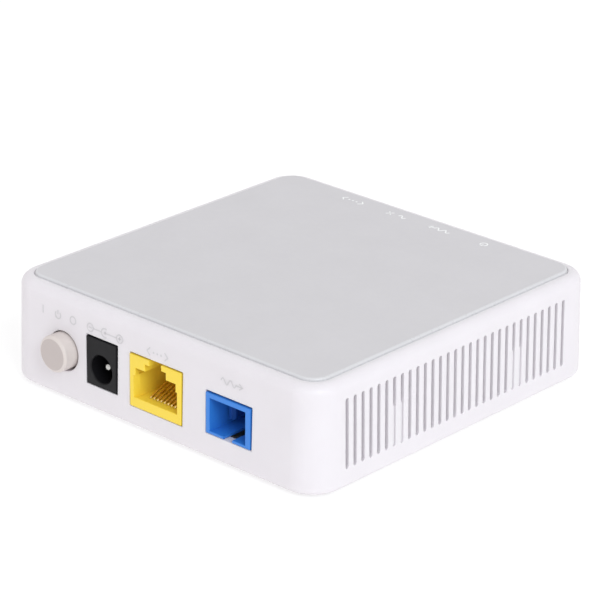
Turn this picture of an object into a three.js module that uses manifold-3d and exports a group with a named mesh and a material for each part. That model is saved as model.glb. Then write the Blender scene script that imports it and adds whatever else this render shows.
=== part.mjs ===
// A desktop optical network terminal: a vented white case with a grey top panel, a push-push power
// button and three ports in one wall, and the circuit board hung upside down under the case's ceiling.
// Millimetres, +Z up. The ports face -Y, the indicators face +Y and the two grilles face -X and +X.
import * as THREE from "three";
import { mergeVertices } from "three/addons/utils/BufferGeometryUtils.js";
import Module from "manifold-3d";

const wasm = await Module();
wasm.setup();

// ---- Case: a square box whose walls lean out towards the bottom ----
const CASE_HALF = 44.8; // half width of the walls at CASE_MID_Z
const CASE_MID_Z = 13.2;
const WALL_DRAFT = THREE.MathUtils.degToRad(1.33);
const CASE_CORNER_R = 7;
const CASE_BOTTOM_Z = 0.8;
const RIM_Z = 24.7;
const RIM_FILLET_R = 2.3;
const SKIRT_FILLET_R = 1.45;
const INNER_HALF = 42.7;
const INNER_CORNER_R = 4.9;
const CEILING_Z = 22;
const FIT_GAP = 0.3; // between parts that fit into each other
const BOND_GAP = 0.1; // between parts that are glued or clamped face to face

// ---- Top panel ----
const PANEL_HALF = 41.7;
const PANEL_CORNER_R = 4.25;
const PANEL_BOTTOM_Z = 23.6;
const PANEL_TOP_Z = 25.2;
const PANEL_BEVEL = 0.5;
const GROOVE = 0.2; // round the panel
const GROOVE_DEPTH = 0.12;

// ---- Grilles ----
const SLOTS_PER_WALL = 30;
const SLOT_PITCH = 2.397;
const SLOT_WIDTH = 0.95;
const SLOT_HEIGHT = 15.4;
const SLOT_MID_Z = 12.85;
const FIRST_SLOT_Y = -35.3;

// ---- Circuit board: its parts hang from its lower face ----
const BOARD_LOWER_Z = 17.67;
const BOARD_THICKNESS = 1.6;
const BOARD_HALF_X = 40.3;
const BOARD_BACK_Y = -42.3;
const BOARD_FRONT_Y = 41;
const BOARD_NOTCH = 34.6; // the corners beyond this are cut away for the screw columns
const BOARD_SCREWS = [[-35.5, -16], [35.5, -16], [-33, 30], [33, 30]];
const PART_TOP_Z = BOARD_LOWER_Z - BOND_GAP;

// ---- Port wall ----
const PORT_FACE_Y = -44.9;
const BUTTON = { x: -27.46, z: 11.77, radius: 4.1, reach: 3.15, hole: 4.5 };
const DC_JACK = { x: -15.81, width: 9, top: 17.5, height: 10.9, depth: 14.2, boreZ: 10.87, roomAbove: 0.32, roomRight: 0.4 };
const RJ45 = { x: 0.18, width: 15.05, top: 17.4, height: 11.85, depth: 21, roomAbove: 0.32, roomRight: 0.4 };
const SC_PORT = { x: 20.93, width: 12.5, top: 15.65, height: 9.1, depth: 20.5, roomAbove: 0.45, roomRight: 0.45 };
const HOLE_SHIFT = 0.1; // the button sits this much nearer to -X and +Z than the middle of its hole
const WINDOW_GAP = 0.25; // round the light guide's ends

// ---- Base, feet and fixings ----
const BASE_THICKNESS = 1.8;
const FOOT_AT = [30, 35];
const FOOT_R = 4.8;
const FOOT_RECESS = 0.7;
const SCREW_COLUMN_AT = 38.2;
const COLUMN_BOTTOM_Z = 4.2;
const POSTS_Y = [-19.76, 18.64];
const POST_TOP_Z = 15.05;
const LABEL = { width: 42, depth: 26, y: -8, recess: 0.3 };

// ---- Indicators ----
const LED_XS = [-19.2, -6.4, 6.4, 19.2];
const LED_Y = 37.9;
const WINDOW_Z = 14;
const WINDOW_R = 1.1;

const CORNER_STEPS = 6;
const ROUND_STEPS = 20;
const SMALL_STEPS = 12;

// ---- Solids ----

function solidOf(geometry) {
  const bare = geometry.clone();
  bare.deleteAttribute("normal");
  bare.deleteAttribute("uv");
  const merged = mergeVertices(bare, 1e-4);
  const vertProperties = merged.attributes.position.array;
  const triVerts = new Uint32Array(merged.index.array);
  return new wasm.Manifold(new wasm.Mesh({ numProp: 3, vertProperties, triVerts }));
}

function geometryOf(solid) {
  const { vertProperties, triVerts } = solid.getMesh();
  const geometry = new THREE.BufferGeometry();
  geometry.setAttribute("position", new THREE.BufferAttribute(vertProperties, 3));
  geometry.setIndex(new THREE.BufferAttribute(triVerts, 1));
  return geometry;
}

// The first geometry, joined with the others.
function joined(...geometries) {
  return geometryOf(geometries.map(solidOf).reduce((whole, piece) => whole.add(piece)));
}

// The first geometry, with all the tools cut out of it at once.
function cut(geometry, tools) {
  const tool = tools.map(solidOf).reduce((whole, piece) => whole.add(piece));
  return geometryOf(solidOf(geometry).subtract(tool));
}

// A box from its lowest to its highest corner.
function box(low, high) {
  const size = high.map((value, axis) => value - low[axis]);
  const middle = high.map((value, axis) => (value + low[axis]) / 2);
  return new THREE.BoxGeometry(...size).translate(...middle);
}

// A solid of revolution about Z. The profile is a list of [radius, z] from the bottom to the top.
function turned(profile, steps = ROUND_STEPS) {
  const points = profile.map(([radius, z]) => new THREE.Vector2(radius, z));
  return new THREE.LatheGeometry(points, steps).rotateX(Math.PI / 2);
}

function cylinder(radius, low, high, steps = ROUND_STEPS) {
  return turned([[0, low], [radius, low], [radius, high], [0, high]], steps);
}

// A flat outline in X and Y, extruded upwards from z = 0. A half round in it has 4 sides.
function extruded(shape, depth) {
  return new THREE.ExtrudeGeometry(shape, { depth, bevelEnabled: false, curveSegments: 2 });
}

// Turns a solid about Z into one about Y: what pointed up then points along +Y.
function alongY(geometry) {
  return geometry.rotateX(-Math.PI / 2);
}

// Turns an outline drawn in Y and Z, and extruded, so that the extrusion runs along X about x = 0.
function acrossX(geometry, width) {
  const turn = new THREE.Matrix4().makeBasis(
    new THREE.Vector3(0, 1, 0),
    new THREE.Vector3(0, 0, 1),
    new THREE.Vector3(1, 0, 0),
  );
  return geometry.applyMatrix4(turn).translate(-width / 2, 0, 0);
}

function polygon(points) {
  return new THREE.Shape(points.map(([x, y]) => new THREE.Vector2(x, y)));
}

// One ring of a rounded square at height z, anticlockwise from above.
function squareRing(half, radius, z) {
  const ring = [];
  for (let corner = 0; corner < 4; corner++) {
    const start = (corner * Math.PI) / 2;
    const centreX = (half - radius) * Math.sign(Math.cos(start + Math.PI / 4));
    const centreY = (half - radius) * Math.sign(Math.sin(start + Math.PI / 4));
    for (let step = 0; step <= CORNER_STEPS; step++) {
      const angle = start + ((Math.PI / 2) * step) / CORNER_STEPS;
      const x = centreX + radius * Math.cos(angle);
      const y = centreY + radius * Math.sin(angle);
      ring.push(new THREE.Vector3(x, y, z));
    }
  }
  return ring;
}

// A closed solid through rings of equal length, from the lowest to the highest.
function lofted(rings) {
  const count = rings[0].length;
  const index = [];
  for (let level = 0; level + 1 < rings.length; level++) {
    for (let i = 0; i < count; i++) {
      const a = level * count + i;
      const b = level * count + ((i + 1) % count);
      index.push(a, b, b + count, a, b + count, a + count);
    }
  }
  const top = (rings.length - 1) * count;
  for (let i = 1; i + 1 < count; i++) {
    index.push(0, i + 1, i, top, top + i, top + i + 1);
  }
  const geometry = new THREE.BufferGeometry().setFromPoints(rings.flat());
  geometry.setIndex(index);
  return geometry;
}

// A strip of constant thickness that follows a path drawn in Y and Z, centred on x = 0.
function strip(path, thickness, width) {
  const points = path.map(([y, z]) => new THREE.Vector2(y, z));
  const sides = [[], []];
  points.forEach((point, i) => {
    const before = points[Math.max(i - 1, 0)];
    const after = points[Math.min(i + 1, points.length - 1)];
    const direction = after.clone().sub(before).normalize();
    const normal = new THREE.Vector2(-direction.y, direction.x).multiplyScalar(thickness / 2);
    sides[0].push(point.clone().sub(normal));
    sides[1].unshift(point.clone().add(normal));
  });
  return acrossX(extruded(new THREE.Shape(sides.flat()), width), width);
}

// ---- Materials ----

function plastic(color, roughness = 0.5) {
  return new THREE.MeshStandardMaterial({ color, roughness, metalness: 0 });
}

function metal(color, roughness = 0.3) {
  return new THREE.MeshStandardMaterial({ color, roughness, metalness: 1 });
}

const WHITE = plastic(0xedeaee, 0.45);
const PANEL_GREY = plastic(0xd2d2d4, 0.6);
const BUTTON_GREY = plastic(0xcdc3be, 0.5);
const BLACK = plastic(0x2b292d, 0.5);
const YELLOW = plastic(0xf2c22e, 0.45);
const BLUE = plastic(0x2a78e0, 0.4);
const NATURAL = plastic(0xe4e2d6, 0.4);
const CLEAR = plastic(0xeef4f4, 0.1);
const CERAMIC = plastic(0xf4f2ea, 0.2);
const RUBBER = plastic(0x3a3a3c, 0.85);
const PAPER = plastic(0xf4f4f2, 0.8);
const BOARD_GREEN = plastic(0x1f6b3a, 0.4);
const PHENOLIC = plastic(0x8a5a34, 0.6);
const EPOXY = plastic(0x1c1c1e, 0.55);
const STEEL = metal(0xb9bcc0);
const GOLD = metal(0xd9b45a, 0.25);
const ALUMINIUM = metal(0xc9ccd0, 0.35);

// A named piece at its place.
function piece(name, geometry, material, x = 0, y = 0, z = 0) {
  const mesh = new THREE.Mesh(geometry, material);
  mesh.name = name;
  mesh.position.set(x, y, z);
  return mesh;
}

// ---- Case ----

function wallHalf(z) {
  return CASE_HALF + Math.tan(WALL_DRAFT) * (CASE_MID_Z - z);
}

// The case's outside: a fillet at the skirt, a drafted wall and a fillet up to the rim.
function caseBody() {
  const skirtAngles = [-90, -60, -30, 0];
  const rimAngles = [0, 22.5, 45, 67.5, 90];
  const ringAt = (angle, radius, centreZ) => {
    const turn = THREE.MathUtils.degToRad(angle);
    const inset = radius * (1 - Math.cos(turn));
    const z = centreZ + radius * Math.sin(turn);
    return squareRing(wallHalf(z) - inset, CASE_CORNER_R - inset, z);
  };
  return lofted([
    ...skirtAngles.map((angle) => ringAt(angle, SKIRT_FILLET_R, CASE_BOTTOM_Z + SKIRT_FILLET_R)),
    ...rimAngles.map((angle) => ringAt(angle, RIM_FILLET_R, RIM_Z - RIM_FILLET_R)),
  ]);
}

function slotOutline() {
  const straight = (SLOT_HEIGHT - SLOT_WIDTH) / 2;
  const shape = new THREE.Shape();
  shape.absarc(0, straight, SLOT_WIDTH / 2, 0, Math.PI);
  shape.absarc(0, -straight, SLOT_WIDTH / 2, Math.PI, 2 * Math.PI);
  return shape;
}

// One bar through both grilles for each slot.
function slotCutters() {
  const length = 2 * CASE_HALF + 10;
  return Array.from({ length: SLOTS_PER_WALL }, (_, i) => {
    const bar = acrossX(extruded(slotOutline(), length), length);
    return bar.translate(0, FIRST_SLOT_Y + i * SLOT_PITCH, SLOT_MID_Z);
  });
}

// An opening through the port wall. The housing sits close to its lower edge and its -X edge.
function portOpening({ x, width, top, height, roomAbove, roomRight }) {
  return box(
    [x - width / 2 - BOND_GAP, -CASE_HALF - 5, top - height - BOND_GAP],
    [x + width / 2 + roomRight, -INNER_HALF + 2, top + roomAbove],
  );
}

function upperShell() {
  const cavity = lofted([
    squareRing(INNER_HALF, INNER_CORNER_R, CASE_BOTTOM_Z - 1),
    squareRing(INNER_HALF, INNER_CORNER_R, CEILING_Z),
  ]);
  const recessHalf = PANEL_HALF + GROOVE;
  const recess = lofted([
    squareRing(recessHalf, PANEL_CORNER_R + GROOVE, PANEL_BOTTOM_Z - BOND_GAP),
    squareRing(recessHalf, PANEL_CORNER_R + GROOVE, RIM_Z + 1),
  ]);
  const buttonHole = alongY(cylinder(BUTTON.hole, -6, 6)).translate(BUTTON.x + HOLE_SHIFT, PORT_FACE_Y, BUTTON.z - HOLE_SHIFT);
  const windows = LED_XS.map((x) =>
    alongY(cylinder(WINDOW_R + WINDOW_GAP, -5, 5, SMALL_STEPS)).translate(x, CASE_HALF, WINDOW_Z),
  );
  const openings = [DC_JACK, RJ45, SC_PORT].map(portOpening);
  const walls = cut(caseBody(), [cavity, recess, buttonHole, ...windows, ...openings, ...slotCutters()]);

  const columns = [];
  const pilots = [];
  for (const x of [-SCREW_COLUMN_AT, SCREW_COLUMN_AT]) {
    for (const y of [-SCREW_COLUMN_AT, SCREW_COLUMN_AT]) {
      columns.push(cylinder(2.9, COLUMN_BOTTOM_Z, CEILING_Z + 0.5, SMALL_STEPS).translate(x, y, 0));
      pilots.push(cylinder(1.3, COLUMN_BOTTOM_Z - 1, 14, SMALL_STEPS).translate(x, y, 0));
    }
  }
  const bossBottom = BOARD_LOWER_Z + BOARD_THICKNESS + BOND_GAP;
  for (const [x, y] of BOARD_SCREWS) {
    columns.push(cylinder(2.5, bossBottom, CEILING_Z + 0.5, SMALL_STEPS).translate(x, y, 0));
    pilots.push(cylinder(1.1, bossBottom - 1, CEILING_Z + 0.6, SMALL_STEPS).translate(x, y, 0));
  }
  return cut(joined(walls, ...columns), pilots);
}

// The plate is a little wider at the bottom, so the groove round it is shallow.
function topPanel() {
  const wider = GROOVE - BOND_GAP;
  return lofted([
    squareRing(PANEL_HALF + wider, PANEL_CORNER_R + wider, PANEL_BOTTOM_Z),
    squareRing(PANEL_HALF + wider, PANEL_CORNER_R + wider, RIM_Z - GROOVE_DEPTH - 0.05),
    squareRing(PANEL_HALF, PANEL_CORNER_R, RIM_Z - GROOVE_DEPTH),
    squareRing(PANEL_HALF, PANEL_CORNER_R, PANEL_TOP_Z - PANEL_BEVEL),
    squareRing(PANEL_HALF - PANEL_BEVEL, PANEL_CORNER_R - PANEL_BEVEL, PANEL_TOP_Z),
  ]);
}

// The base closes the case from below. Its posts stand behind the grilles, and its cups hold the screws.
function baseCover() {
  const half = INNER_HALF - FIT_GAP;
  const cornerR = INNER_CORNER_R - FIT_GAP;
  const upperZ = CASE_BOTTOM_Z + BASE_THICKNESS;
  const plate = lofted([
    squareRing(half, cornerR, CASE_BOTTOM_Z),
    squareRing(half, cornerR, upperZ),
  ]);
  const posts = [];
  for (const side of [-1, 1]) {
    for (const y of POSTS_Y) {
      const middle = side * (half - 0.9);
      posts.push(box([middle - 0.7, y - 2, upperZ - 0.5], [middle + 0.7, y + 2, POST_TOP_Z]));
    }
  }
  const cups = [];
  const cuts = [];
  for (const sideX of [-1, 1]) {
    for (const sideY of [-1, 1]) {
      const [x, y] = [sideX * SCREW_COLUMN_AT, sideY * SCREW_COLUMN_AT];
      cups.push(cylinder(3.9, upperZ - 0.5, COLUMN_BOTTOM_Z - BOND_GAP, SMALL_STEPS).translate(x, y, 0));
      cuts.push(cylinder(2.8, 0, 2.9, SMALL_STEPS).translate(x, y, 0));
      cuts.push(cylinder(1.4, 2, 5, SMALL_STEPS).translate(x, y, 0));
      const [footX, footY] = [sideX * FOOT_AT[0], sideY * FOOT_AT[1]];
      const pocketR = FOOT_R + FIT_GAP;
      cuts.push(cylinder(pocketR, 0, CASE_BOTTOM_Z + FOOT_RECESS).translate(footX, footY, 0));
    }
  }
  cuts.push(
    box(
      [-LABEL.width / 2 - FIT_GAP, LABEL.y - LABEL.depth / 2 - FIT_GAP, 0],
      [LABEL.width / 2 + FIT_GAP, LABEL.y + LABEL.depth / 2 + FIT_GAP, CASE_BOTTOM_Z + LABEL.recess],
    ),
  );
  return cut(joined(plate, ...posts, ...cups), cuts);
}

function foot() {
  const top = CASE_BOTTOM_Z + FOOT_RECESS - BOND_GAP;
  return turned([[0, 0], [FOOT_R - 0.7, 0], [FOOT_R - 0.2, 0.3], [FOOT_R, top], [0, top]]);
}

// A pan head screw about Z with its head down: the seat is at z = 0 and the shank rises from it.
function panScrew(headR, headHeight, shankR, length) {
  const body = turned(
    [
      [0, -headHeight],
      [headR * 0.7, -headHeight],
      [headR, -headHeight * 0.5],
      [headR, 0],
      [shankR, 0],
      [shankR, length - shankR],
      [0, length],
    ],
    SMALL_STEPS,
  );
  const arm = headR * 0.55;
  const depth = headHeight * 0.55;
  const slots = [
    box([-arm, -arm * 0.22, -headHeight - 1], [arm, arm * 0.22, -headHeight + depth]),
    box([-arm * 0.22, -arm, -headHeight - 1], [arm * 0.22, arm, -headHeight + depth]),
  ];
  return cut(body, slots);
}

function caseParts() {
  const group = new THREE.Group();
  group.add(
    piece("upper_shell", upperShell(), WHITE),
    piece("top_panel", topPanel(), PANEL_GREY),
    piece("base_cover", baseCover(), WHITE),
  );
  const label = box([-LABEL.width / 2, -LABEL.depth / 2, 0], [LABEL.width / 2, LABEL.depth / 2, 0.2]);
  group.add(piece("rating_label", label, PAPER, 0, LABEL.y, CASE_BOTTOM_Z + 0.05));
  let number = 1;
  for (const sideX of [-1, 1]) {
    for (const sideY of [-1, 1]) {
      const [x, y] = [sideX * SCREW_COLUMN_AT, sideY * SCREW_COLUMN_AT];
      group.add(piece(`foot_${number}`, foot(), RUBBER, sideX * FOOT_AT[0], sideY * FOOT_AT[1], 0));
      group.add(piece(`base_screw_${number}`, panScrew(2.3, 1.4, 1.1, 8), STEEL, x, y, 2.8));
      number += 1;
    }
  }
  return group;
}

// ---- Power button and its push-push switch, about the button's axis; y = 0 is the port face ----

function buttonCap() {
  const { radius, reach } = BUTTON;
  const flangeY = -PORT_FACE_Y - INNER_HALF + FIT_GAP;
  const profile = [
    [0, -reach],
    [radius - 0.5, -reach],
    [radius - 0.15, -reach + 0.15],
    [radius, -reach + 0.5],
    [radius, flangeY],
    [radius + 0.8, flangeY],
    [radius + 0.8, flangeY + 1],
    [0, flangeY + 1],
  ];
  const socket = box([-1.9, 0.2, -1.9], [1.9, flangeY + 2, 1.9]);
  return cut(alongY(turned(profile, 24)), [socket]);
}

const SWITCH = { front: 6.7, back: 22.7, half: 4.1, low: -3.8, high: 4.6, pistonFront: 8.9, pistonBack: 13.7 };
const LATCH = { pivotY: 21, tipY: 11.9, z: -3.1, radius: 0.3 };

function switchHousing() {
  const { front, back, half, low, high } = SWITCH;
  const cavityBack = back - 2.8;
  return cut(box([-half, front, low], [half, back, high]), [
    box([-2.8, front + 1.5, -2.8], [2.8, cavityBack, high + 1]),
    box([-2, front - 1, -2], [2, front + 2, 2]),
    box([-1.6, front + 2, low - 1], [1.6, back - 1, -2.5]),
    cylinder(0.6, low - 1, -1, SMALL_STEPS).translate(0, LATCH.pivotY, 0),
  ]);
}

function switchPlunger() {
  const { pistonFront, pistonBack } = SWITCH;
  const shaft = box([-1.7, 0.5, -1.7], [1.7, pistonBack - 1, 1.7]);
  const piston = box([-2.5, pistonFront, -2.5], [2.5, pistonBack, 2.5]);
  const camTrack = box([-1.3, pistonFront - 0.5, -3], [1.3, pistonFront + 3.8, -1.3]);
  return cut(joined(shaft, piston), [camTrack]);
}

function switchSpring() {
  const start = SWITCH.pistonBack + 0.4;
  const length = SWITCH.back - 2.8 - 0.4 - start;
  const turns = 4.5;
  class Helix extends THREE.Curve {
    getPoint(t, target = new THREE.Vector3()) {
      const angle = 2 * Math.PI * turns * t;
      return target.set(1.7 * Math.cos(angle), start + length * t, 1.7 * Math.sin(angle));
    }
  }
  const wire = new THREE.Shape();
  wire.absarc(0, 0, 0.2, 0, 2 * Math.PI);
  const options = { extrudePath: new Helix(), steps: 54, bevelEnabled: false, curveSegments: 2.5 };
  return new THREE.ExtrudeGeometry(wire, options);
}

// A staple: one leg pivots in the housing, the other rides in the plunger's cam track.
function latchWire() {
  const { pivotY, tipY, z, radius } = LATCH;
  return joined(
    box([-radius, tipY - radius, z - radius], [radius, pivotY + radius, z + radius]),
    box([-radius, pivotY - radius, z - radius], [radius, pivotY + radius, z + 1.6]),
    box([-radius, tipY - radius, z - radius], [radius, tipY + radius, z + 1.3]),
  );
}

function switchParts() {
  const group = new THREE.Group();
  group.position.set(BUTTON.x, PORT_FACE_Y, BUTTON.z);
  const { front, back, half, high } = SWITCH;
  const plateTop = PART_TOP_Z - BUTTON.z;
  group.add(
    piece("power_button", buttonCap(), BUTTON_GREY),
    piece("switch_housing", switchHousing(), BLACK),
    piece("switch_terminal_plate", box([-half, front, high + BOND_GAP], [half, back, plateTop]), PHENOLIC),
    piece("switch_plunger", switchPlunger(), NATURAL),
    piece("switch_spring", switchSpring(), STEEL),
    piece("switch_latch_wire", latchWire(), STEEL),
  );
  return group;
}

// ---- DC jack: y = 0 is the port face, z = 0 is the bore's axis ----

function dcJackParts() {
  const { x, width, top, height, depth, boreZ } = DC_JACK;
  const group = new THREE.Group();
  group.position.set(x, PORT_FACE_Y, boreZ);
  const high = top - boreZ;
  const boreDepth = 9.6;
  const housing = cut(box([-width / 2, 0, high - height], [width / 2, depth, high]), [
    alongY(cylinder(3.15, -1, boreDepth, 24)),
    alongY(cylinder(1.25, 0, depth + 1, SMALL_STEPS)),
    box([-1.4, 2, 2], [1.4, depth + 1, 4.6]),
  ]);
  const pinProfile = [[0, 1.6], [0.7, 1.8], [1, 2.4], [1, depth + 0.4], [0, depth + 0.4]];
  const spring = strip([[2.6, 3.6], [5.5, 2.9], [8, 3], [10.5, 4], [14, 4], [14.6, 4.2], [14.9, 6.6]], 0.35, 2.2);
  group.add(
    piece("dc_jack_housing", housing, BLACK),
    piece("dc_jack_pin", alongY(turned(pinProfile, SMALL_STEPS)), STEEL),
    piece("dc_jack_spring_contact", spring, STEEL),
  );
  return group;
}

// ---- RJ45 socket: y = 0 is the port face, z = 0 is the housing's lower face ----

const CONTACT_COUNT = 8;
const CONTACT_PITCH = 1.02;
const CONTACT_WIDTH = 0.45;

function contactX(i) {
  return (i - (CONTACT_COUNT - 1) / 2) * CONTACT_PITCH;
}

function rj45Parts() {
  const { x, width, top, height, depth } = RJ45;
  const group = new THREE.Group();
  group.position.set(x, PORT_FACE_Y, top - height);
  const cavityDepth = 14;
  const floor = 2.2;
  const ceiling = 8.95;
  const ledge = 7.2; // the side walls stand back above it, and lead the plug in below it
  const leadIn = polygon([[-6.4, -0.1], [6.4, -0.1], [5.85, 1.6], [-5.85, 1.6]]);
  const grooves = Array.from({ length: CONTACT_COUNT }, (_, i) =>
    box([contactX(i) - 0.35, 1.9, 0.8], [contactX(i) + 0.35, depth + 1, floor + 0.4]),
  );
  const housing = cut(box([-width / 2, 0, 0], [width / 2, depth, height]), [
    box([-5.85, -1, floor], [5.85, cavityDepth, ceiling]),
    box([-6.1, 1.2, ledge], [6.1, cavityDepth, ceiling]),
    extruded(leadIn, ledge - floor).translate(0, 0, floor),
    box([-3.05, -1, 8], [3.05, cavityDepth, 10.55]),
    box([-1.75, -1, 10], [1.75, cavityDepth, 11.2]),
    box([-1.75, -1, 10], [1.75, 3, height + 1]),
    ...grooves,
  ]);
  group.add(piece("rj45_housing", housing, YELLOW));
  const path = [[21.6, 11.8], [21.6, 1.4], [3, 1.4], [2.4, 1.7], [2.6, 2.4], [12.8, 6.6]];
  for (let i = 0; i < CONTACT_COUNT; i++) {
    const wire = strip(path, 0.35, CONTACT_WIDTH);
    group.add(piece(`rj45_contact_${i + 1}`, wire, GOLD, contactX(i)));
  }
  return group;
}

// ---- SC receptacle and the optical assembly behind it: y = 0 is the port face, z = 0 the fibre axis ----

function opticalParts() {
  const { x, width, top, height, depth } = SC_PORT;
  const axisX = x - 0.08;
  const axisZ = 10.82;
  const group = new THREE.Group();
  group.position.set(axisX, PORT_FACE_Y, axisZ);
  const middle = x - axisX;
  const high = top - axisZ;
  const low = high - height;
  const cavityDepth = 15;
  const receptacle = cut(box([middle - width / 2, 0, low], [middle + width / 2, depth, high]), [
    box([-5.1, -1, -3.7], [4.9, cavityDepth, 3.7]),
    box([middle - 1.25, -1, low - 1], [middle + 1.25, 9, -3]),
    alongY(cylinder(2.4, 0, depth + 1)),
  ]);
  const insertBack = cavityDepth - FIT_GAP;
  const insert = cut(
    joined(
      box([-4.6, insertBack - 2, -3.4], [4.6, insertBack, 3.4]),
      box([-4.5, 5.2, -2.4], [-3.7, insertBack - 1, 2.4]),
      box([3.7, 5.2, -2.4], [4.5, insertBack - 1, 2.4]),
      box([-4.5, 5.2, -2.4], [-3.2, 6.4, 2.4]),
      box([3.2, 5.2, -2.4], [4.5, 6.4, 2.4]),
    ),
    [alongY(cylinder(2.4, 0, depth))],
  );
  const sleeve = cut(alongY(cylinder(1.6, 7.5, 17)), [alongY(cylinder(1.27, 0, 16))]);
  const barrelEnd = depth + 8;
  const barrel = alongY(
    turned([[0, 17.3], [2.1, 17.3], [2.1, depth + 0.3], [3.4, depth + 0.3], [3.4, barrelEnd], [0, barrelEnd]]),
  );
  const canProfile = [[0, 0], [2.3, 0], [2.3, 3], [2.8, 3], [2.8, 4.2], [0, 4.2]];
  const laserCan = alongY(turned(canProfile, SMALL_STEPS));
  const photodiodeCan = turned(canProfile, SMALL_STEPS).rotateY(-Math.PI / 2);
  group.add(
    piece("sc_receptacle", receptacle, BLUE),
    piece("sc_latch_insert", insert, BLUE),
    piece("fibre_sleeve", sleeve, CERAMIC),
    piece("optical_barrel", barrel, ALUMINIUM),
    piece("laser_can", laserCan, GOLD, 0, barrelEnd + BOND_GAP, 0),
    piece("photodiode_can", photodiodeCan, GOLD, -3.4 - BOND_GAP, depth + 4, 0),
  );
  return group;
}

// ---- Circuit board and what is soldered to it ----

function mainBoard() {
  const outline = polygon([
    [-BOARD_NOTCH, BOARD_BACK_Y],
    [BOARD_NOTCH, BOARD_BACK_Y],
    [BOARD_NOTCH, -BOARD_NOTCH],
    [BOARD_HALF_X, -BOARD_NOTCH],
    [BOARD_HALF_X, BOARD_NOTCH],
    [BOARD_NOTCH, BOARD_NOTCH],
    [BOARD_NOTCH, BOARD_FRONT_Y],
    [-BOARD_NOTCH, BOARD_FRONT_Y],
    [-BOARD_NOTCH, BOARD_NOTCH],
    [-BOARD_HALF_X, BOARD_NOTCH],
    [-BOARD_HALF_X, -BOARD_NOTCH],
    [-BOARD_NOTCH, -BOARD_NOTCH],
  ]);
  const holes = BOARD_SCREWS.map(([x, y]) => cylinder(1.25, -1, 3, SMALL_STEPS).translate(x, y, 0));
  return cut(extruded(outline, BOARD_THICKNESS), holes);
}

// A moulded package of the given size, hanging from z = 0, with a bevelled underside.
function chip(width, depth, height) {
  const bevel = Math.min(0.4, height / 3);
  const ring = (inset, z) => {
    const [x, y] = [width / 2 - inset, depth / 2 - inset];
    return [[x, -y], [x, y], [-x, y], [-x, -y]].map(([px, py]) => new THREE.Vector3(px, py, z));
  };
  return lofted([ring(bevel, -height), ring(0, -height + bevel), ring(0, 0)]);
}

// An aluminium electrolytic capacitor, hanging from z = 0.
function canCapacitor(radius, height) {
  const profile = [
    [0, -height],
    [radius - 0.5, -height],
    [radius, -height + 0.5],
    [radius, -2.4],
    [radius - 0.35, -1.9],
    [radius, -1.4],
    [radius, 0],
    [0, 0],
  ];
  return turned(profile, 16);
}

function boardParts() {
  const group = new THREE.Group();
  group.add(piece("main_board", mainBoard(), BOARD_GREEN, 0, 0, BOARD_LOWER_Z));
  BOARD_SCREWS.forEach(([x, y], i) => {
    group.add(piece(`board_screw_${i + 1}`, panScrew(1.9, 1.2, 0.95, 4.3), STEEL, x, y, PART_TOP_Z));
  });
  LED_XS.forEach((x, i) => {
    group.add(piece(`indicator_led_${i + 1}`, chip(3, 2.4, 1.4), CLEAR, x, LED_Y, PART_TOP_Z));
  });
  group.add(
    piece("system_chip", chip(14, 14, 1.4), EPOXY, 2, 8, PART_TOP_Z),
    piece("flash_chip", chip(8, 6, 1.8), EPOXY, -14, 14, PART_TOP_Z),
    piece("laser_driver_chip", chip(5, 5, 0.9), EPOXY, 22, -2, PART_TOP_Z),
    piece("ethernet_transformer", chip(16, 10, 5), EPOXY, 0.8, -11, PART_TOP_Z),
    piece("crystal", chip(11, 4.5, 3.4), STEEL, 20, 12, PART_TOP_Z),
    piece("power_inductor", chip(7, 7, 3.6), EPOXY, -27, -8, PART_TOP_Z),
    piece("capacitor_1", canCapacitor(4, 10), ALUMINIUM, -15, -20, PART_TOP_Z),
    piece("capacitor_2", canCapacitor(3.15, 7), ALUMINIUM, -16, -3, PART_TOP_Z),
  );
  return group;
}

// One clear moulding: each arm takes an indicator's light down, round a 45 degree face and out.
function lightGuide() {
  const half = 1.2;
  const [low, high] = [WINDOW_Z - half, WINDOW_Z + half];
  const [back, elbow, shoulder] = [LED_Y - 1.3, LED_Y + 1.3, INNER_HALF - 1.3];
  const ledFaceZ = PART_TOP_Z - 1.4 - FIT_GAP;
  const profile = polygon([
    [elbow - 0.4, low],
    [shoulder, low],
    [shoulder, high],
    [elbow, high],
    [elbow, ledFaceZ],
    [back, ledFaceZ],
    [back, high - 0.2],
  ]);
  const arms = LED_XS.map((x) => acrossX(extruded(profile, 2 * half), 2 * half).translate(x, 0, 0));
  const windowLength = CASE_HALF - 0.1 - shoulder;
  const windows = LED_XS.map((x) =>
    alongY(cylinder(WINDOW_R, -0.4, windowLength, SMALL_STEPS)).translate(x, shoulder, WINDOW_Z),
  );
  const bar = box([LED_XS[0], elbow + 0.3, low], [LED_XS[3], shoulder - 0.3, WINDOW_Z]);
  return joined(bar, ...arms, ...windows);
}

// ---- The whole terminal ----

// The origin is the centre of the whole footprint, which reaches from the button's face to the far skirt.
const terminal = new THREE.Group();
const buttonFaceY = PORT_FACE_Y - BUTTON.reach;
const farSkirtY = wallHalf(CASE_BOTTOM_Z + SKIRT_FILLET_R);
terminal.position.y = -(buttonFaceY + farSkirtY) / 2;
terminal.add(
  caseParts(),
  switchParts(),
  dcJackParts(),
  rj45Parts(),
  opticalParts(),
  boardParts(),
  piece("light_guide", lightGuide(), CLEAR),
);

export default terminal;
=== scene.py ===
"""The looks of a desktop optical network terminal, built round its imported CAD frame.

Shapes are made in millimetres and scaled to metres as each piece is finished. Where a piece goes is read
from the frame. The port wall faces -Y, the indicator windows face +Y and the grilles face -X and +X.
"""
import math

import bmesh
import bpy
from mathutils import Matrix, Vector


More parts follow.
